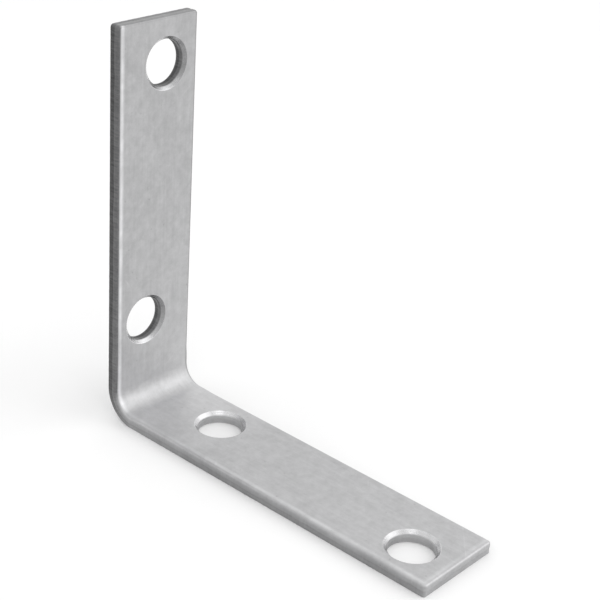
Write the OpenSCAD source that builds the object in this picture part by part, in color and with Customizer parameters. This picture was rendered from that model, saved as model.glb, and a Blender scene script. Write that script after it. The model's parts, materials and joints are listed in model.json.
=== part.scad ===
// Corner brace: one steel strip folded to a right angle, with countersunk screw holes in both legs.
// The outer corner's mid-width point is the origin: X runs along the foot, Y across the strip, Z up the upright.

/* [Strip] */
// Width of the strip
strip_w = 12; // [11:0.5:20]
// Thickness of the sheet
sheet_t = 1.5; // [1.2:0.1:2.5]
// Length of each leg, from the outer corner to its tip
leg_len = 50; // [35:1:80]
// Radius of the corners at each tip, seen on the flat of the leg
tip_corner_r = 0.6; // [0.4:0.1:2]

/* [Edges] */
// Radius that the blanking die rolls onto the edges of the inner face
rolled_edge_r = 0.3; // [0.1:0.05:0.5]
// Radius left on the edges of the outer face by tumbling
outer_edge_r = 0.1; // [0.05:0.05:0.3]

/* [Fold] */
// Inside radius of the fold
fold_inner_r = 2.5; // [1.5:0.25:5]
// Height that the squeezed metal swells out of each side along the inside of the fold
swell_h = 0.15; // [0.1:0.01:0.25]
// Share of the thickness over which the swell fades out
swell_share = 0.6; // [0.4:0.05:0.8]

/* [Screw holes] */
// Bore of each screw hole
hole_d = 5.5; // [3.5:0.1:5.8]
// Diameter of the countersink at the inner face
sink_d = 6.4; // [6:0.1:7.2]
// Included angle of the countersink
sink_angle = 90; // [80:1:110]
// Distance from the outer corner to the centre of a leg's inner hole
inner_hole_at = 12.5; // [12.5:0.5:18]
// Distance from a leg's tip to the centre of its outer hole
tip_to_hole = 5.5; // [5:0.5:12]
// Distance of each hole's centre from the middle of the strip, to alternate sides
hole_stagger = 1.25; // [0:0.25:1.5]

/* [Hidden] */
$fn = 96;
fold_outer_r = fold_inner_r + sheet_t;
sink_depth = (sink_d - hole_d) / 2 / tan(sink_angle / 2);
outer_hole_at = leg_len - tip_to_hole;
// Cutters run this far past the faces that they open
clearance = 1;

// The swell on each side is part of a ball centred on the fold's axis. Seen along that axis, the ball
// stands swell_h proud of the side at the fold's inside radius and sinks into it at swell_end_r.
swell_end_r = fold_inner_r + swell_share * sheet_t;
ball_to_swell = ((swell_end_r ^ 2 - fold_inner_r ^ 2) / swell_h + swell_h) / 2;
ball_r = sqrt(ball_to_swell ^ 2 + fold_inner_r ^ 2);
ball_y = strip_w / 2 + swell_h - ball_to_swell;

// Corner that a quarter circle leaves of its square
module spandrel(r) {
    difference() {
        square(r);
        circle(r);
    }
}

// Edge of the sheet in section: depth wide, outer face at y = 0, inner face at y = sheet_t, edge at x = depth
module edge_profile(depth) {
    difference() {
        square([depth, sheet_t]);
        translate([depth - rolled_edge_r, sheet_t - rolled_edge_r]) spandrel(rolled_edge_r);
        translate([depth - outer_edge_r, outer_edge_r]) mirror([0, 1]) spandrel(outer_edge_r);
    }
}

// Whole section of the strip, centred on x = 0
module strip_section() {
    edge_profile(strip_w / 2);
    mirror([1, 0]) edge_profile(strip_w / 2);
}

// Straight part of the foot, from the end of the fold to its rounded tip
module leg_blank() {
    corner_x = leg_len - tip_corner_r;
    corner_y = strip_w / 2 - tip_corner_r;
    translate([fold_outer_r, 0, 0])
        rotate([90, 0, 90]) linear_extrude(corner_x - fold_outer_r) strip_section();
    translate([corner_x, corner_y, 0]) {
        rotate([90, 0, 0]) linear_extrude(2 * corner_y) edge_profile(tip_corner_r);
        rotate_extrude(angle = 90) edge_profile(tip_corner_r);
    }
    translate([corner_x, -corner_y, 0])
        rotate(-90) rotate_extrude(angle = 90) edge_profile(tip_corner_r);
}

// Cutter for one screw hole, up through a sheet that lies on z = 0: bore, broken edge and countersink
module screw_hole() {
    translate([0, 0, -clearance]) cylinder(h = sheet_t + 2 * clearance, d = hole_d);
    translate([0, 0, -clearance])
        cylinder(
            h = clearance + outer_edge_r,
            d1 = hole_d + 2 * (clearance + outer_edge_r),
            d2 = hole_d
        );
    translate([0, 0, sheet_t - sink_depth])
        cylinder(
            h = sink_depth + clearance,
            d1 = hole_d,
            d2 = hole_d + 2 * (sink_depth + clearance) * tan(sink_angle / 2)
        );
}

// The two staggered holes of the foot
module leg_holes() {
    translate([inner_hole_at, hole_stagger, 0]) screw_hole();
    translate([outer_hole_at, -hole_stagger, 0]) screw_hole();
}

// The quarter turn between the legs
module fold() {
    translate([fold_outer_r, 0, fold_outer_r])
        rotate([90, 0, 0]) rotate(180)
            rotate_extrude(angle = 90)
                translate([fold_outer_r, 0]) rotate(90) strip_section();
}

// Side view of the fold with the start of both legs
module fold_outline() {
    intersection() {
        difference() {
            translate([fold_outer_r, fold_outer_r]) circle(fold_outer_r);
            translate([fold_outer_r, fold_outer_r]) circle(fold_inner_r);
        }
        square(fold_outer_r);
    }
    translate([fold_outer_r, 0]) square([fold_outer_r, sheet_t]);
    translate([0, fold_outer_r]) square([sheet_t, fold_outer_r]);
}

// Metal squeezed out of the far side along the inside of the fold
module swell() {
    intersection() {
        translate([0, strip_w / 2 + clearance, 0])
            rotate([90, 0, 0]) linear_extrude(strip_w / 2 + clearance) fold_outline();
        translate([fold_outer_r, ball_y, fold_outer_r]) sphere(ball_r);
    }
}

// What the foot and the upright share: the upright is the foot turned half round about the fold's bisector
module turned_pair() {
    children();
    rotate(180, [1, 0, 1]) children();
}

// The folded strip with its holes
module brace() {
    color("silver") difference() {
        union() {
            turned_pair() {
                leg_blank();
                swell();
            }
            fold();
        }
        turned_pair() leg_holes();
    }
}

brace();
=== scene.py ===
import json
import math
from functools import partial

import bmesh
import bpy
from mathutils import Matrix, Vector, noise


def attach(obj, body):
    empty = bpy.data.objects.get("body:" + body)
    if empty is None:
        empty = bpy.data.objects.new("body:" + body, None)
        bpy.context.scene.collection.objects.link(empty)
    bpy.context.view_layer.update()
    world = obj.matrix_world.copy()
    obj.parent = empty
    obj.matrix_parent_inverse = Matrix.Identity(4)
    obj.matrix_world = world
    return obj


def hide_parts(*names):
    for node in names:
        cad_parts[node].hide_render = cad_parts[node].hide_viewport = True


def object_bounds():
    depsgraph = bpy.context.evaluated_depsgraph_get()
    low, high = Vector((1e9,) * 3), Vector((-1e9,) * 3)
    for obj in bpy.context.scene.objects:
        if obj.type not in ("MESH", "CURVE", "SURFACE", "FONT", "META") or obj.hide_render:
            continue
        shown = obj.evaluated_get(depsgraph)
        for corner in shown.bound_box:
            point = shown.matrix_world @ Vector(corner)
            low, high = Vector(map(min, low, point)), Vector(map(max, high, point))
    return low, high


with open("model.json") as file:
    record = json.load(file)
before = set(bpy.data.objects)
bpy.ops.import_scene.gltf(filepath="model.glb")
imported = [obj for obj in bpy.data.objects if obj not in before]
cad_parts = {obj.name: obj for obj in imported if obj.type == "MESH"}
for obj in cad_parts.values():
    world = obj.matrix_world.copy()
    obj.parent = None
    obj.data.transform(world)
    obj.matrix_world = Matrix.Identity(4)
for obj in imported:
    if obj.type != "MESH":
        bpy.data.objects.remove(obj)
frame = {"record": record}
CAD_LOW, CAD_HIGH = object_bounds()
BORES = [mount for mount in frame["record"]["mounts"] if mount["kind"] == "bore"]

# The brace and the camera's place are in millimetres, and the floor and the lamps in metres
MM = 0.001

# The strip, where the frame doesn't give its size
SHEET_T = 1.5
FOLD_INNER_R = 2.5
TIP_CORNER_R = 0.42
ROLLED_EDGE_R = 0.3
OUTER_EDGE_R = 0.1
SWELL_H = 0.15
SWELL_SHARE = 0.6
SINK_R = 3.2
SINK_SLOPE = 1.0
BURR_BREAK = 0.1
RIM_R = 0.07

# The blanking die shears each edge down to the tear line, and the metal below it tears back by tear_step
TEAR_N = 0.8
BORE_TEAR_N = 0.6
TEAR_WANDER = 0.12
TEAR_WAVES = 0.6
TEAR_STEP = 0.03
TEAR_ROUGH = 0.025
TEAR_GRAIN = 2.4

# The fold draws the outer face's edges in by this much
PULL_IN = 0.06

# The strip, as the frame gives it
LEG_LEN = CAD_HIGH.x / MM
STRIP_W = (CAD_HIGH.y - CAD_LOW.y) / MM - 2 * SWELL_H
HOLE_R = BORES[0]["dims"]["r_mm"]

# The flat strip is measured along u, from the foot's tip at -HALF_LEN to the upright's tip at HALF_LEN,
# across it along y, and through the sheet along n, from the outer face at 0 to the inner face at SHEET_T
FOLD_OUTER_R = FOLD_INNER_R + SHEET_T
FOLD_MID_R = FOLD_OUTER_R - SHEET_T / 2
HALF_ARC = FOLD_MID_R * math.pi / 4
HALF_LEN = HALF_ARC + LEG_LEN - FOLD_OUTER_R
FACE_EDGE = STRIP_W / 2 - ROLLED_EDGE_R
TIP_ARC_U = HALF_LEN - TIP_CORNER_R
TIP_ARC_R = TIP_CORNER_R - ROLLED_EDGE_R
SWELL_END_R = FOLD_INNER_R + SWELL_SHARE * SHEET_T
BALL_TO_SWELL = ((SWELL_END_R**2 - FOLD_INNER_R**2) / SWELL_H + SWELL_H) / 2
BALL_R = math.hypot(BALL_TO_SWELL, FOLD_INNER_R)

# Fineness of the mesh. The rings round a hole stand further apart as they widen, by the power ring_growth,
# and points that agree to so many decimals are one vertex
CELL = 0.32
FOLD_STEPS = 36
ARC_STEPS = 4
RING_ROOM = 0.25
HOLE_BLOCK = 4.2
HOLE_RINGS = 9
RING_GROWTH = 1.25
SHEARED_STEPS = 2
TORN_STEPS = 6
WALL_CELL = 0.14
ROUND_STEPS = 5
BREAK_STEPS = 3
RIM_STEPS = 4
DECIMALS = 4

# What each point of the mesh tells its material: how much it is sheared edge, darkened partly for the metal's
# own dullness and partly as painted shade, torn metal, worn ridge or turned countersink, from 0 to 1
MARKS = ("wall", "torn", "wear", "turned")
BARE = (0.0, 0.0, 0.0, 0.0)

# How dark the sheared metal is painted on the foot and on the upright, and how far its dark reaches up the
# rolled
# edge: the lower the power, the nearer it comes to the inner face. This is partly the sheared metal's own
# dullness and
# partly painted shade: the upright's edges and bores and the +Y side of its countersinks are painted darker
# where shade falls, and the foot's edges and bores lighter, its bores with painted light from the floor below
EDGE_WALL_SHADE = (0.5, 1.0)
TIP_WALL_SHADE = (0.15, 0.45)
BORE_WALL_SHADE = (0.2, 1.0)
SINK_SIDE_SHADE = (0.0, 0.7)
ROLL_SHADE_POWER = (2.0, 0.15)

# The painted highlight line along the inner face: its distance inside the edge, how far to each side it
# fades, how strong it is on the foot and on the upright, and the depths below the face between which it ends
HIGHLIGHT_LINE_IN = 0.25
HIGHLIGHT_LINE_W = 0.4
HIGHLIGHT_LINE_STRENGTH = (0.3, 0.9)
HIGHLIGHT_LINE_DEPTH = (0.2, 0.1)

# Share of the fold's half arc over which the metal is worked the most
BEND_CORE = 0.2

# What a noise mostly stays between
NOISE_LOW = 0.3
NOISE_HIGH = 0.7

# Patterns on the flat strip: how the strip is stretched for the noise, then its scale, detail and roughness
CLOUDS = ((1.0, 1.0, 1.0), 0.18, 3.0, 0.5)
MOTTLE = ((1.0, 1.0, 1.0), 0.9, 4.0, 0.65)
STREAKS = ((0.05, 1.0, 1.0), 3.0, 4.0, 0.6)
SPECKS = ((1.0, 1.0, 1.0), 5.5, 3.0, 0.7)
PATCHES = ((1.0, 1.0, 1.0), 0.4, 2.0, 0.5)
ROLLING = ((0.06, 1.0, 1.0), 4.0, 4.0, 0.6)
GRAIN = ((1.0, 1.0, 1.0), 4.0, 4.0, 0.65)
TURNING = ((0.2, 0.2, 22.0), 1.0, 2.0, 0.5)
SHEARING = ((1.0, 1.0, 0.1), 7.0, 3.0, 0.5)
STRIPES = ((1.0, 1.0, 0.12), 4.5, 3.0, 0.6)
HAIRLINES = ((0.04, 1.0, 0.3), 2.4, 2.0, 0.6)
HAIRLINE_PATCHES = ((1.0, 1.0, 1.0), 0.35, 1.0, 0.5)
NICK_PATCHES = ((1.0, 1.0, 1.0), 0.5, 1.0, 0.5)

# The zinc's tone, from 0 for black to 1 for white, and how far the patterns swing it to each side
BASE_TONE = 0.53
SWINGS = ((CLOUDS, 0.015), (MOTTLE, 0.04), (STREAKS, 0.018), (SPECKS, 0.014))

# Painted light and shade along the strip: from one place to another the tone grows by so much. It is painted
# lighter beside the fold than at the tips, most so on the foot, where it lifts the corner's shade, and darker
# towards the upright's tip
BESIDE_FOLD = HALF_ARC + 14.0
LIGHT_AND_SHADE_STEPS = (
    (-HALF_LEN, HALF_LEN, -0.095),
    (-BESIDE_FOLD, -HALF_ARC, 0.13),
    (-HALF_ARC, HALF_ARC, -0.08),
    (HALF_ARC, BESIDE_FOLD, -0.05),
)

# How much lighter than the zinc its marked parts are. The first is the painted highlight along the inner
# face's edge
HIGHLIGHT_LINE_TONE = (0.2, 0.4)
WEAR_TONE = (0.06, 0.24)
TURNED_TONE = 0.08
SCRATCH_TONE = 0.05
NICK_TONE = -0.07

# The sheared metal's tone as a share of the zinc's, partly its own dullness and partly painted shade, and how
# much less that share is where the metal is torn
SHEARED_SHADED_TONE = (0.24, 0.38)
TORN_TONE = 0.08

# How much stronger the zinc's blue is than its red and green
BLUE = 1.012

# The zinc's roughness, and how much rougher its marked parts are
ROUGH = (0.34, 0.44)
TORN_ROUGH = 0.2
WEAR_ROUGH = -0.08
TURNED_ROUGH = -0.12
BEND_ROUGH = 0.12

# Relief that is too fine for the mesh, with the depths of nicks and scratches as shares of it
BUMP_HEIGHT = 0.05
BUMP_STRENGTH = 0.35
NICK_DEPTH = 0.8
SCRATCH_DEPTH = 0.3

# Scratches: the turn and the offset of each set, and where a pattern counts as a line and as a patch
SCRATCH_SETS = ((0.5, 0.0), (-0.9, 31.0))
SCRATCH_LINE = (0.7, 0.74)
SCRATCH_PATCH = (0.45, 0.6)

# Nicks: how many there are along a millimetre, how wide they are, and where a pattern leaves them out
NICK_SCALE = 0.7
NICK_EDGE = (0.05, 0.11)
NICK_KEPT = (0.52, 0.56)

# Where the patches of wear begin and end
PATCH_EDGE = (0.35, 0.65)

# The map on which the strip lies unfolded is a square. From below it holds the halves of both faces,
# the edge cut into equal lengths, and the walls of the holes
MAP_GAP = 0.5
FACE_ROW = 2 * FACE_EDGE + MAP_GAP
EDGE_ROWS = 4
EDGE_ROW = 2.4
EDGES_LOW = 4 * FACE_ROW
HOLES_LOW = EDGES_LOW + EDGE_ROWS * EDGE_ROW
HOLES_A_ROW = 3
HOLE_ROW = 3.1
HOLE_SPAN = 2 * math.pi * HOLE_R + 2 * MAP_GAP
MAP_SIDE = HOLES_LOW + 2 * HOLE_ROW + MAP_GAP

# The view of the photograph, round the outer corner
VIEW_AZIMUTH = 40.52
VIEW_ELEVATION = 26.1
VIEW_ROLL = 3.98
VIEW_DISTANCE = 186.2
VIEW_RIGHT = 19.93
VIEW_UP = 12.70
LENS = 87.57
SENSOR = 36.0
CLIP_START = 0.01

# The studio. A lamp is its name, azimuth, elevation, distance, size and power
FLOOR_HALF = 3.0
FLOOR_TONE = (0.965, 0.985)
FLOOR_ROUGH = 0.8
SPECKLE_SCALE = 40.0
FILL = 0.96
LAMPS = (
    ("window", 138, 33, 0.5, 0.45, 0.42),
    ("top", 54, 64, 0.45, 0.18, 0.1),
)


def spread(start, end, steps):
    """steps + 1 evenly spaced numbers from start to end."""
    return [start + (end - start) * k / steps for k in range(steps + 1)]


def cells(start, end):
    """Evenly spaced numbers from start to end, about a cell apart."""
    return spread(start, end, max(1, round(abs(end - start) / CELL)))


def folded(u, y, n):
    """Where a point of the flat strip lies once the strip is folded."""
    past_fold = max(0.0, abs(u) - HALF_ARC)
    angle = min(abs(u), HALF_ARC) / FOLD_MID_R - 0.75 * math.pi
    radius = FOLD_OUTER_R - n
    outward = FOLD_OUTER_R + radius * math.cos(angle) + past_fold
    beside = FOLD_OUTER_R + radius * math.sin(angle)
    return Vector((outward, y, beside)) if u < 0 else Vector((beside, y, outward))


def hole_centres():
    """Centre of each screw hole on the flat strip, from tip to tip."""
    centres = []
    for bore in BORES:
        x, y, z = (c / MM for c in bore["pos_m"])
        in_foot = bore["axis"][2] > 0.5
        u = max(x, z) - FOLD_OUTER_R + HALF_ARC
        centres.append((-u if in_foot else u, y))
    return sorted(centres)


def across():
    """Places of the mesh's rows across the strip. The outermost follow the tips' round corners."""
    turned = [FACE_EDGE - TIP_ARC_R + TIP_ARC_R * math.sin(a) for a in spread(0, math.pi / 2, ARC_STEPS)]
    middle = cells(-turned[0], turned[0])
    return [-y for y in reversed(turned[1:])] + middle + turned[1:]


def tip_u(y):
    """How far along the strip its inner face ends in the row at y."""
    past = max(0.0, abs(y) - (FACE_EDGE - TIP_ARC_R))
    return TIP_ARC_U + math.sqrt(max(0.0, TIP_ARC_R**2 - past**2))


def face_spot(outer, corners):
    """Place on the map of a face's corners (u, y)."""
    second = sum(u for u, _ in corners) > 0
    left = MAP_GAP + (0.0 if second else HALF_LEN)
    low = MAP_GAP + (2 * outer + second) * FACE_ROW + FACE_EDGE
    return [(left + u, low + y) for u, y in corners]


def edge_spot(span, corners):
    """Place on the map of a face's corners (way along the edge, way from the inner face)."""
    row = min(EDGE_ROWS - 1, int(sum(s for s, _ in corners) / len(corners) / span))
    return [(MAP_GAP + s - row * span, MAP_GAP + EDGES_LOW + row * EDGE_ROW + t) for s, t in corners]


def hole_spot(index, corners):
    """Place on the map of a face's corners (way round the hole, way from the inner face)."""
    left = MAP_GAP + index % HOLES_A_ROW * HOLE_SPAN
    low = MAP_GAP + HOLES_LOW + index // HOLES_A_ROW * HOLE_ROW
    return [(left + s, low + t) for s, t in corners]


class Strip:
    """The brace's mesh. Points are (u, y, n) on the flat strip, and points that meet become one vertex."""

    def __init__(self):
        self.flat = []
        self.marks = []
        self.faces = []
        self.spots = []
        self.known = {}

    def vertex(self, point, mark):
        key = tuple(round(c, DECIMALS) for c in point)
        if key not in self.known:
            self.known[key] = len(self.flat)
            self.flat.append(point)
            self.marks.append(mark)
        return self.known[key]

    def patch(self, rows, spot):
        """Faces between neighbouring rows, which hold a point, its marks and its chart place at each step."""
        found = [[(self.vertex(point, mark), place) for point, mark, place in row] for row in rows]
        for low, high in zip(found, found[1:]):
            for k in range(len(low) - 1):
                corners = (low[k], low[k + 1], high[k + 1], high[k])
                self.faces.append([vertex for vertex, _ in corners])
                self.spots += spot([place for _, place in corners])


def block_border(centre, rows):
    """The points round the block of a hole, back to the first."""
    u, _ = centre
    ends = cells(u - HOLE_BLOCK, u + HOLE_BLOCK)
    around = [(a, rows[0]) for a in ends]
    around += [(ends[-1], y) for y in rows[1:]]
    around += [(a, rows[-1]) for a in reversed(ends[:-1])]
    around += [(ends[0], y) for y in reversed(rows[:-1])]
    return around


def ring(centre, border, radius):
    """Places (u, y) at radius round a hole, on the lines from its centre to the border."""
    found = []
    for u, y in border:
        away = Vector((u - centre[0], y - centre[1])).normalized() * radius
        found.append((centre[0] + away.x, centre[1] + away.y))
    return found


def turns(centre, border):
    """How far round a hole each point of its border is, in radians."""
    first = math.atan2(border[0][1] - centre[1], border[0][0] - centre[0])
    found = [(math.atan2(y - centre[1], u - centre[0]) - first) % (2 * math.pi) for u, y in border[:-1]]
    return found + [2 * math.pi]


def face_row(places, n):
    """A row of a face's patch, from its places (u, y)."""
    return [((u, y, n), BARE, (u, y)) for u, y in places]


def add_hole_block(strip, centre, rows, n):
    """The part of a face round one hole, from the hole's ring out to the strip's edges."""
    border = block_border(centre, rows)
    inside = ring(centre, border, SINK_R + RING_ROOM)
    rings = []
    for k in range(HOLE_RINGS + 1):
        share = (k / HOLE_RINGS) ** RING_GROWTH
        places = [(a + (u - a) * share, b + (y - b) * share) for (a, b), (u, y) in zip(inside, border)]
        rings.append(face_row(places, n))
    strip.patch(rings, partial(face_spot, n == 0))


def plain_columns(centres):
    """Places of the mesh's columns along the strip, between the blocks of the holes."""
    a, b, c, d = (u for u, _ in centres)
    fold = spread(-HALF_ARC, HALF_ARC, FOLD_STEPS)
    return [
        cells(a + HOLE_BLOCK, b - HOLE_BLOCK),
        cells(b + HOLE_BLOCK, -HALF_ARC)[:-1] + fold + cells(HALF_ARC, c - HOLE_BLOCK)[1:],
        cells(c + HOLE_BLOCK, d - HOLE_BLOCK),
    ]


def tip_columns(centre):
    """Places of the columns at a tip, along the strip's edge, from the round corner to the hole's block."""
    side = math.copysign(1, centre[0])
    return cells(side * TIP_ARC_U, centre[0] + side * HOLE_BLOCK)


def add_face(strip, centres, rows, n):
    """One face of the sheet, with its holes."""
    for centre in centres:
        add_hole_block(strip, centre, rows, n)
    spot = partial(face_spot, n == 0)
    for columns in plain_columns(centres):
        strip.patch([face_row([(u, y) for y in rows], n) for u in columns], spot)
    for centre in (centres[0], centres[-1]):
        side = math.copysign(1, centre[0])
        columns = tip_columns(centre)
        inner = columns[-1]
        shares = [(u - inner) / (columns[0] - inner) for u in columns]
        places = [[(inner + (side * tip_u(y) - inner) * s, y) for y in rows] for s in shares]
        strip.patch([face_row(row, n) for row in places], spot)


def outline(centres, rows):
    """The inner face's edge all round, back to the first point, each with the direction out of the strip."""
    long_edge = tip_columns(centres[0])
    spans = plain_columns(centres)
    for centre, span in zip(centres, spans + [None]):
        long_edge += cells(centre[0] - HOLE_BLOCK, centre[0] + HOLE_BLOCK)[1:]
        if span:
            long_edge += span[1:]
    long_edge += list(reversed(tip_columns(centres[-1])))[1:]
    points = [((u, -FACE_EDGE), (0, -1)) for u in long_edge]
    for y in rows[1:-1]:
        points.append(((tip_u(y), y), tip_direction(y)))
    points += [((u, FACE_EDGE), (0, 1)) for u in reversed(long_edge)]
    for y in reversed(rows[1:-1]):
        out = tip_direction(y)
        points.append(((-tip_u(y), y), (-out[0], out[1])))
    return points + points[:1]


def tip_direction(y):
    """Direction out of the upright's tip in the row at y."""
    core = max(-(FACE_EDGE - TIP_ARC_R), min(FACE_EDGE - TIP_ARC_R, y))
    away = Vector((tip_u(y) - TIP_ARC_U, y - core)).normalized()
    return (away.x, away.y)


def edge_section():
    """The sheet's edge from its inner to its outer face: (distance out, n, marks) of each step."""
    steps = []
    for a in spread(0, math.pi / 2, ROUND_STEPS):
        n = SHEET_T - ROLLED_EDGE_R * (1 - math.cos(a))
        steps.append((ROLLED_EDGE_R * math.sin(a), n, (math.sin(a), 0.0, 0.0, 0.0)))
    for n in spread(SHEET_T - ROLLED_EDGE_R, TEAR_N, SHEARED_STEPS)[1:]:
        steps.append((ROLLED_EDGE_R, n, (1.0, 0.0, 0.0, 0.0)))
    for n in spread(TEAR_N - 2 * TEAR_STEP, OUTER_EDGE_R, TORN_STEPS):
        steps.append((ROLLED_EDGE_R, n, (1.0, 1.0, 0.0, 0.0)))
    for a in spread(0, math.pi / 2, BREAK_STEPS)[1:]:
        out = ROLLED_EDGE_R - OUTER_EDGE_R * (1 - math.cos(a))
        n = OUTER_EDGE_R * (1 - math.sin(a))
        steps.append((out, n, (math.cos(a), math.cos(a), 0.5 * math.sin(2 * a), 0.0)))
    steps.append((0.0, 0.0, BARE))
    return steps


def wall_mark(u, wall, sideways):
    """How dark the strip's edge is painted at a point: its sides are darker than its tips, partly the sheared
    metal's own dullness and partly painted shade.
    """
    up = max(0.0, min(1.0, 0.5 + 0.5 * u / HALF_ARC))
    side, tip, power = (foot + (upright - foot) * up for foot, upright in (EDGE_WALL_SHADE, TIP_WALL_SHADE, ROLL_SHADE_POWER))
    return (tip + (side - tip) * sideways) * wall**power


def bulge(u, y, n):
    """How far the strip's side stands out in the fold: squeezed out along the inside, drawn in outside."""
    drawn = 0.0
    if abs(u) < HALF_ARC:
        drawn = PULL_IN * math.cos(u / HALF_ARC * math.pi / 2) * (1 - n / SHEET_T)
    x, _, z = folded(u, y, n)
    radius = math.hypot(x - FOLD_OUTER_R, z - FOLD_OUTER_R)
    if radius >= SWELL_END_R or min(x, z) > FOLD_OUTER_R:
        return -drawn
    return math.sqrt(BALL_R**2 - radius**2) - math.sqrt(BALL_R**2 - SWELL_END_R**2) - drawn


def tear_shift(u, y, n):
    """How far the tear line's wandering moves a point of the edge along n."""
    if not OUTER_EDGE_R < n < SHEET_T - ROLLED_EDGE_R:
        return 0.0
    above = (SHEET_T - ROLLED_EDGE_R - n) / (SHEET_T - ROLLED_EDGE_R - TEAR_N)
    below = (n - OUTER_EDGE_R) / (TEAR_N - OUTER_EDGE_R)
    return TEAR_WANDER * noise.noise(Vector((u, y, 0.0)) * TEAR_WAVES) * min(above, below)


def tear_depth(u, y, n):
    """How far torn metal stands back from the sheared edge."""
    return TEAR_STEP + TEAR_ROUGH * noise.noise(Vector((u, y, n)) * TEAR_GRAIN)


def add_edge(strip, centres, rows):
    """The sheared edge all round the strip, from face to face."""
    around = outline(centres, rows)
    along = [0.0]
    for (first, _), (second, _) in zip(around, around[1:]):
        along.append(along[-1] + math.dist(first, second))
    points = []
    down = 0.0
    before = (0.0, SHEET_T)
    for out, n, (wall, torn, wear, _) in edge_section():
        down += math.dist(before, (out, n))
        before = (out, n)
        row = []
        for ((u, y), (du, dy)), s in zip(around, along):
            beyond = out + bulge(u, y, n) * out / ROLLED_EDGE_R * abs(dy) - torn * tear_depth(u, y, n)
            place = (u + du * beyond, y + dy * beyond, n + tear_shift(u, y, n))
            mark = (wall_mark(u, wall, abs(dy)), torn, wear * abs(dy), 0.0)
            row.append((place, mark, (s, down)))
        points.append(row)
    strip.patch(points, partial(edge_spot, along[-1] / EDGE_ROWS))


def rounded(corners, radius):
    """A line through corners with each inner corner rounded: (x, y, ridge) of each step.

    The ridge is 1 halfway round a corner and 0 away from it.
    """
    points = [(*corners[0], 0.0)]
    for before, corner, after in zip(corners, corners[1:], corners[2:]):
        back = (Vector(before) - Vector(corner)).normalized()
        on = (Vector(after) - Vector(corner)).normalized()
        half = back.angle(on) / 2
        middle = Vector(corner) + (back + on).normalized() * radius / math.sin(half)
        start = (Vector(corner) + back * radius / math.tan(half) - middle).normalized()
        end = (Vector(corner) + on * radius / math.tan(half) - middle).normalized()
        for share in spread(0, 1, RIM_STEPS):
            at = middle + start.slerp(end, share) * radius
            points.append((at.x, at.y, math.sin(math.pi * share)))
    points.append((*corners[-1], 0.0))
    return points


def hole_section(bore_wall_shade):
    """The hole's wall from the inner to the outer face: (radius, n, marks) of each step."""
    bore_top = SHEET_T - (SINK_R - HOLE_R) / SINK_SLOPE
    corners = [
        (SINK_R + RING_ROOM, SHEET_T),
        (SINK_R, SHEET_T),
        (HOLE_R, bore_top),
        (HOLE_R, BURR_BREAK),
        (HOLE_R + BURR_BREAK, 0.0),
        (SINK_R + RING_ROOM, 0.0),
    ]
    line = rounded(corners, RIM_R)
    steps = []
    for here, beyond in zip(line, line[1:]):
        count = max(1, round(math.dist(here[:2], beyond[:2]) / WALL_CELL))
        for k in range(count):
            r, n, ridge = (a + (b - a) * k / count for a, b in zip(here, beyond))
            in_bore = float(r < HOLE_R + 0.5 * RIM_R)
            in_sink = float(r > HOLE_R + RIM_R and bore_top < n < SHEET_T)
            torn = in_bore * float(BURR_BREAK + RIM_R < n < BORE_TEAR_N)
            # The bore's darkness is painted: painted shade in the upright's bores, painted light keeps the
            # foot's lighter
            steps.append((r, n, (in_bore * bore_wall_shade, torn, ridge, in_sink)))
    return steps + [(*line[-1][:2], BARE)]


def add_hole(strip, index, centre, rows):
    """The wall of one hole: countersink, bore and the broken edge at the outer face."""
    border = block_border(centre, rows)
    angles = turns(centre, border)
    points = []
    down = 0.0
    upright = centre[0] > 0
    section = hole_section(BORE_WALL_SHADE[upright])
    before = section[0][:2]
    for r, n, mark in section:
        down += math.dist(before, (r, n))
        before = (r, n)
        deep = mark[1] * TEAR_ROUGH
        row = []
        for (u, y), angle in zip(ring(centre, border, r), angles):
            rough = deep * (1 + noise.noise(Vector((u, y, n)) * TEAR_GRAIN)) / 2
            away = Vector((u - centre[0], y - centre[1])).normalized()
            wall, torn, ridge, in_sink = mark
            # Painted shade: the +Y side of the upright's countersinks is darkened
            wall += in_sink * SINK_SIDE_SHADE[upright] * max(0.0, away.y)
            place = (u + away.x * rough, y + away.y * rough, n)
            row.append((place, (wall, torn, ridge, in_sink), (angle * HOLE_R, down)))
        points.append(row)
    strip.patch(points, partial(hole_spot, index))


def brace_mesh():
    """The folded strip as one closed mesh, with what its material reads kept on its points."""
    strip = Strip()
    centres = hole_centres()
    rows = across()
    add_face(strip, centres, rows, SHEET_T)
    add_face(strip, centres, rows, 0.0)
    add_edge(strip, centres, rows)
    for index, centre in enumerate(centres):
        add_hole(strip, index, centre, rows)
    mesh = bpy.data.meshes.new("zinc_brace")
    mesh.from_pydata([folded(*p) * MM for p in strip.flat], [], strip.faces)
    flat = mesh.attributes.new("flat", "FLOAT_VECTOR", "POINT")
    flat.data.foreach_set("vector", [c for p in strip.flat for c in p])
    for name, values in zip(MARKS, zip(*strip.marks)):
        mark = mesh.attributes.new(name, "FLOAT", "POINT")
        mark.data.foreach_set("value", values)
    spots = [place / MAP_SIDE for spot in strip.spots for place in spot]
    mesh.uv_layers.new(name="OFBake").data.foreach_set("uv", spots)
    made = bmesh.new()
    made.from_mesh(mesh)
    bmesh.ops.recalc_face_normals(made, faces=made.faces)
    made.to_mesh(mesh)
    made.free()
    mesh.shade_smooth()
    return mesh


def object_of(name, mesh, material):
    """A new object in the scene that wears one material."""
    made = bpy.data.objects.new(name, mesh)
    made.data.materials.append(material)
    bpy.context.scene.collection.objects.link(made)
    return made


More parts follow.
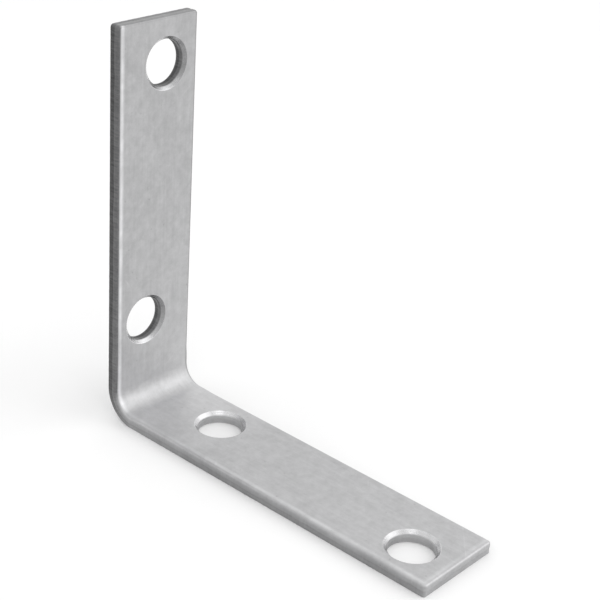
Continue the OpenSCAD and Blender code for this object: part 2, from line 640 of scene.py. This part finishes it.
class Nodes:
    """Makes and joins the nodes of one material."""

    def __init__(self, name):
        self.material = bpy.data.materials.new(name)
        self.material.use_nodes = True
        self.tree = self.material.node_tree
        self.shader = self.tree.nodes["Principled BSDF"]

    def add(self, kind, inputs=None, **settings):
        made = self.tree.nodes.new("ShaderNode" + kind)
        for name, value in settings.items():
            setattr(made, name, value)
        for name, value in (inputs or {}).items():
            self.set(made.inputs[name], value)
        return made

    def set(self, socket, value):
        if isinstance(value, bpy.types.NodeSocket):
            self.tree.links.new(value, socket)
        else:
            socket.default_value = value

    def noise(self, vector, scale, detail=2.0, roughness=0.5):
        inputs = {"Vector": vector, "Scale": scale, "Detail": detail, "Roughness": roughness}
        return self.add("TexNoise", inputs).outputs["Fac"]

    def stretched(self, vector, factors):
        made = self.add("VectorMath", {0: vector, 1: factors}, operation="MULTIPLY")
        return made.outputs["Vector"]

    def pattern(self, vector, pattern):
        stretch, scale, detail, roughness = pattern
        return self.noise(self.stretched(vector, stretch), scale, detail, roughness)

    def ranged(self, value, from_low, from_high, to_low=0.0, to_high=1.0):
        inputs = {"Value": value, 1: from_low, 2: from_high, 3: to_low, 4: to_high}
        return self.add("MapRange", inputs).outputs["Result"]

    def scaled(self, mark, most):
        return self.ranged(mark, 0.0, 1.0, 0.0, most)

    def mixed(self, share, first, second):
        made = self.add("Mix", {"Factor": share})
        self.set(made.inputs[2], first)
        self.set(made.inputs[3], second)
        return made.outputs[0]

    def math(self, operation, first, second):
        return self.add("Math", {0: first, 1: second}, operation=operation).outputs["Value"]

    def total(self, first, others):
        for other in others:
            first = self.math("ADD", first, other)
        return first

    def split(self, vector):
        return self.add("SeparateXYZ", {"Vector": vector}).outputs

    def attribute(self, name, output):
        return self.add("Attribute", attribute_name=name).outputs[output]


def patchy(nodes, flat, low, high):
    """A number that wanders between low and high over the strip."""
    return nodes.ranged(nodes.pattern(flat, PATCHES), *PATCH_EDGE, low, high)


def surface_tone(nodes, flat, marks):
    """How light the zinc is: mottled, streaked along the strip, with a painted highlight line, painted light
    and shade along the strip, and darker where it was sheared, partly as painted shade.
    """
    wall, torn, wear, turned = marks
    along = nodes.split(flat)["X"]
    parts = []
    for pattern, swing in SWINGS:
        parts.append(nodes.ranged(nodes.pattern(flat, pattern), NOISE_LOW, NOISE_HIGH, -swing, swing))
    parts += [
        # Painted highlight along the inner face's edge
        nodes.math("MULTIPLY", ridge(nodes, flat), patchy(nodes, flat, *HIGHLIGHT_LINE_TONE)),
        nodes.math("MULTIPLY", wear, patchy(nodes, flat, *WEAR_TONE)),
        nodes.scaled(turned, TURNED_TONE),
        nodes.scaled(scratches(nodes, flat), SCRATCH_TONE),
        nodes.scaled(nicks(nodes, flat), NICK_TONE),
    ]
    # Painted light and shade along the strip
    parts += [nodes.ranged(along, start, end, 0.0, step) for start, end, step in LIGHT_AND_SHADE_STEPS]
    tone = nodes.total(BASE_TONE, parts)
    striped = nodes.ranged(nodes.pattern(flat, STRIPES), NOISE_LOW, NOISE_HIGH, *SHEARED_SHADED_TONE)
    dark = nodes.math("SUBTRACT", striped, nodes.scaled(torn, TORN_TONE))
    # Sheared parts are darkened by the wall mark, partly the metal's dullness and partly painted shade
    return nodes.mixed(wall, tone, nodes.math("MULTIPLY", tone, dark))


def bend(nodes, flat):
    """How much the fold has worked the metal: 1 at its middle, 0 on the legs."""
    from_middle = nodes.math("ABSOLUTE", nodes.split(flat)["X"], 0.0)
    inputs = {"Value": from_middle, 1: BEND_CORE * HALF_ARC, 2: HALF_ARC, 3: 1.0, 4: 0.0}
    return nodes.add("MapRange", inputs, interpolation_type="SMOOTHSTEP").outputs["Result"]


def ridge(nodes, flat):
    """The line along the inner face's -Y edge and its edge at the foot's tip, where a painted highlight lies.
    """
    place = nodes.split(flat)
    from_side = nodes.math("ADD", place["Y"], FACE_EDGE)
    from_tip = nodes.math("ADD", place["X"], HALF_LEN - ROLLED_EDGE_R)
    inside = nodes.math("MINIMUM", from_side, from_tip)
    off_line = nodes.math("ABSOLUTE", nodes.math("SUBTRACT", inside, HIGHLIGHT_LINE_IN), 0.0)
    line = nodes.ranged(off_line, 0.0, HIGHLIGHT_LINE_W, 1.0, 0.0)
    inner = nodes.ranged(place["Z"], *(SHEET_T - depth for depth in HIGHLIGHT_LINE_DEPTH))
    strength = nodes.ranged(place["X"], -HALF_ARC, HALF_ARC, *HIGHLIGHT_LINE_STRENGTH)
    return nodes.math("MULTIPLY", nodes.math("MULTIPLY", line, inner), strength)


def scratches(nodes, flat):
    """Fine straight hairlines that cross the faces at two slants."""
    found = []
    for turn, offset in SCRATCH_SETS:
        inputs = {"Vector": flat, "Rotation": (0.0, 0.0, turn), "Location": (offset, offset, 0.0)}
        turned = nodes.add("Mapping", inputs).outputs["Vector"]
        line = nodes.ranged(nodes.pattern(turned, HAIRLINES), *SCRATCH_LINE)
        patch = nodes.ranged(nodes.pattern(turned, HAIRLINE_PATCHES), *SCRATCH_PATCH)
        found.append(nodes.math("MULTIPLY", line, patch))
    return nodes.math("MAXIMUM", *found)


def nicks(nodes, flat):
    """Small dents from handling, strewn thinly."""
    cell = nodes.add("TexVoronoi", {"Vector": flat, "Scale": NICK_SCALE, "Randomness": 1.0})
    spot = nodes.ranged(cell.outputs["Distance"], *NICK_EDGE, 1.0, 0.0)
    kept = nodes.ranged(nodes.pattern(flat, NICK_PATCHES), *NICK_KEPT)
    return nodes.math("MULTIPLY", spot, kept)


def surface_roughness(nodes, flat, marks, rolling):
    """How rough the zinc is: more where it was torn and bent, less where it was rubbed and turned."""
    _, torn, wear, turned = marks
    others = [
        nodes.scaled(torn, TORN_ROUGH),
        nodes.scaled(wear, WEAR_ROUGH),
        nodes.scaled(turned, TURNED_ROUGH),
        nodes.scaled(bend(nodes, flat), BEND_ROUGH),
    ]
    return nodes.total(nodes.ranged(rolling, NOISE_LOW, NOISE_HIGH, *ROUGH), others)


def surface_height(nodes, flat, marks, rolling):
    """Fine relief: rolled grain on the faces, turned rings in the countersinks, shear lines on the edges."""
    wall, _, _, turned = marks
    grain = nodes.pattern(flat, GRAIN)
    height = nodes.math("ADD", nodes.math("MULTIPLY", rolling, 0.5), nodes.math("MULTIPLY", grain, 0.5))
    height = nodes.mixed(turned, height, nodes.pattern(flat, TURNING))
    height = nodes.mixed(wall, height, nodes.pattern(flat, SHEARING))
    height = nodes.math("SUBTRACT", height, nodes.math("MULTIPLY", nicks(nodes, flat), NICK_DEPTH))
    return nodes.math("SUBTRACT", height, nodes.math("MULTIPLY", scratches(nodes, flat), SCRATCH_DEPTH))


def zinc():
    """Dull electroplated zinc over cold-rolled strip, with darker sheared edges."""
    nodes = Nodes("zinc")
    flat = nodes.attribute("flat", "Vector")
    marks = [nodes.attribute(name, "Fac") for name in MARKS]
    tone = surface_tone(nodes, flat, marks)
    blue = nodes.math("MULTIPLY", tone, BLUE)
    colour = nodes.add("CombineColor", {"Red": tone, "Green": tone, "Blue": blue}).outputs["Color"]
    rolling = nodes.pattern(flat, ROLLING)
    height = surface_height(nodes, flat, marks, rolling)
    bump = nodes.add("Bump", {"Height": height, "Strength": BUMP_STRENGTH, "Distance": BUMP_HEIGHT * MM})
    nodes.set(nodes.shader.inputs["Base Color"], colour)
    nodes.set(nodes.shader.inputs["Roughness"], surface_roughness(nodes, flat, marks, rolling))
    nodes.set(nodes.shader.inputs["Normal"], bump.outputs["Normal"])
    nodes.set(nodes.shader.inputs["Metallic"], 1.0)
    return nodes.material


def floor_paint():
    """Plain pale floor with a trace of unevenness."""
    nodes = Nodes("floor_paint")
    place = nodes.add("TexCoord").outputs["Object"]
    tone = nodes.ranged(nodes.noise(place, SPECKLE_SCALE, 3.0), NOISE_LOW, NOISE_HIGH, *FLOOR_TONE)
    colour = nodes.add("CombineColor", {"Red": tone, "Green": tone, "Blue": tone}).outputs["Color"]
    nodes.set(nodes.shader.inputs["Base Color"], colour)
    nodes.set(nodes.shader.inputs["Roughness"], FLOOR_ROUGH)
    return nodes.material


def add_floor():
    """A floor that reaches far past the view."""
    mesh = bpy.data.meshes.new("floor")
    half = FLOOR_HALF
    corners = [(-half, -half, 0), (half, -half, 0), (half, half, 0), (-half, half, 0)]
    mesh.from_pydata(corners, [], [(0, 1, 2, 3)])
    object_of("floor", mesh, floor_paint())


def direction(azimuth, elevation):
    """Unit vector from the object towards azimuth and elevation, in degrees. Azimuth 0 is towards -Y."""
    a = math.radians(azimuth)
    e = math.radians(elevation)
    return Vector((math.sin(a) * math.cos(e), -math.cos(a) * math.cos(e), math.sin(e)))


def add_lamp(name, azimuth, elevation, distance, size, power):
    """A square soft box that looks at the brace."""
    lamp = bpy.data.lights.new(name, "AREA")
    lamp.shape = "SQUARE"
    lamp.size = size
    lamp.energy = power
    made = bpy.data.objects.new(name, lamp)
    back = direction(azimuth, elevation)
    middle = (CAD_LOW + CAD_HIGH) / 2
    made.location = middle + back * distance
    made.rotation_euler = back.to_track_quat("Z", "Y").to_euler()
    bpy.context.scene.collection.objects.link(made)


def set_world():
    """Even pale surroundings: white to the camera and in reflections, and a soft fill for the rest."""
    world = bpy.data.worlds.new("studio")
    world.use_nodes = True
    tree = world.node_tree
    background = tree.nodes["Background"]
    path = tree.nodes.new("ShaderNodeLightPath")
    seen = tree.nodes.new("ShaderNodeMath")
    seen.operation = "MAXIMUM"
    tree.links.new(path.outputs["Is Camera Ray"], seen.inputs[0])
    tree.links.new(path.outputs["Is Glossy Ray"], seen.inputs[1])
    either = tree.nodes.new("ShaderNodeMath")
    either.operation = "MAXIMUM"
    tree.links.new(seen.outputs[0], either.inputs[0])
    tree.links.new(path.outputs["Is Transmission Ray"], either.inputs[1])
    level = tree.nodes.new("ShaderNodeMapRange")
    level.inputs["To Min"].default_value = FILL
    level.inputs["To Max"].default_value = 1.0
    tree.links.new(either.outputs[0], level.inputs["Value"])
    tree.links.new(level.outputs["Result"], background.inputs["Strength"])
    background.inputs["Color"].default_value = (1.0, 1.0, 1.0, 1.0)
    bpy.context.scene.world = world


def add_camera():
    """The photograph's camera."""
    back = direction(VIEW_AZIMUTH, VIEW_ELEVATION)
    right = Vector((0, 0, 1)).cross(back).normalized()
    up = back.cross(right)
    roll = math.radians(VIEW_ROLL)
    rolled_right = right * math.cos(roll) + up * math.sin(roll)
    rolled_up = up * math.cos(roll) - right * math.sin(roll)
    camera = bpy.data.cameras.new("camera")
    camera.lens = LENS
    camera.sensor_width = SENSOR
    camera.clip_start = CLIP_START
    made = bpy.data.objects.new("camera", camera)
    place = (rolled_right * VIEW_RIGHT + rolled_up * VIEW_UP + back * VIEW_DISTANCE) * MM
    turn = Matrix((rolled_right, rolled_up, back)).transposed()
    made.matrix_world = Matrix.Translation(place) @ turn.to_4x4()
    bpy.context.scene.collection.objects.link(made)
    bpy.context.scene.camera = made


def add_brace():
    """The brace itself, in place of its CAD solid."""
    made = object_of("zinc_brace", brace_mesh(), zinc())
    even = made.modifiers.new("even_faces", "WEIGHTED_NORMAL")
    even.keep_sharp = True
    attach(made, "root")
    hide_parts("brace")


add_brace()
add_floor()
for lamp in LAMPS:
    add_lamp(*lamp)
set_world()
add_camera()
bpy.context.scene.view_settings.view_transform = "Standard"
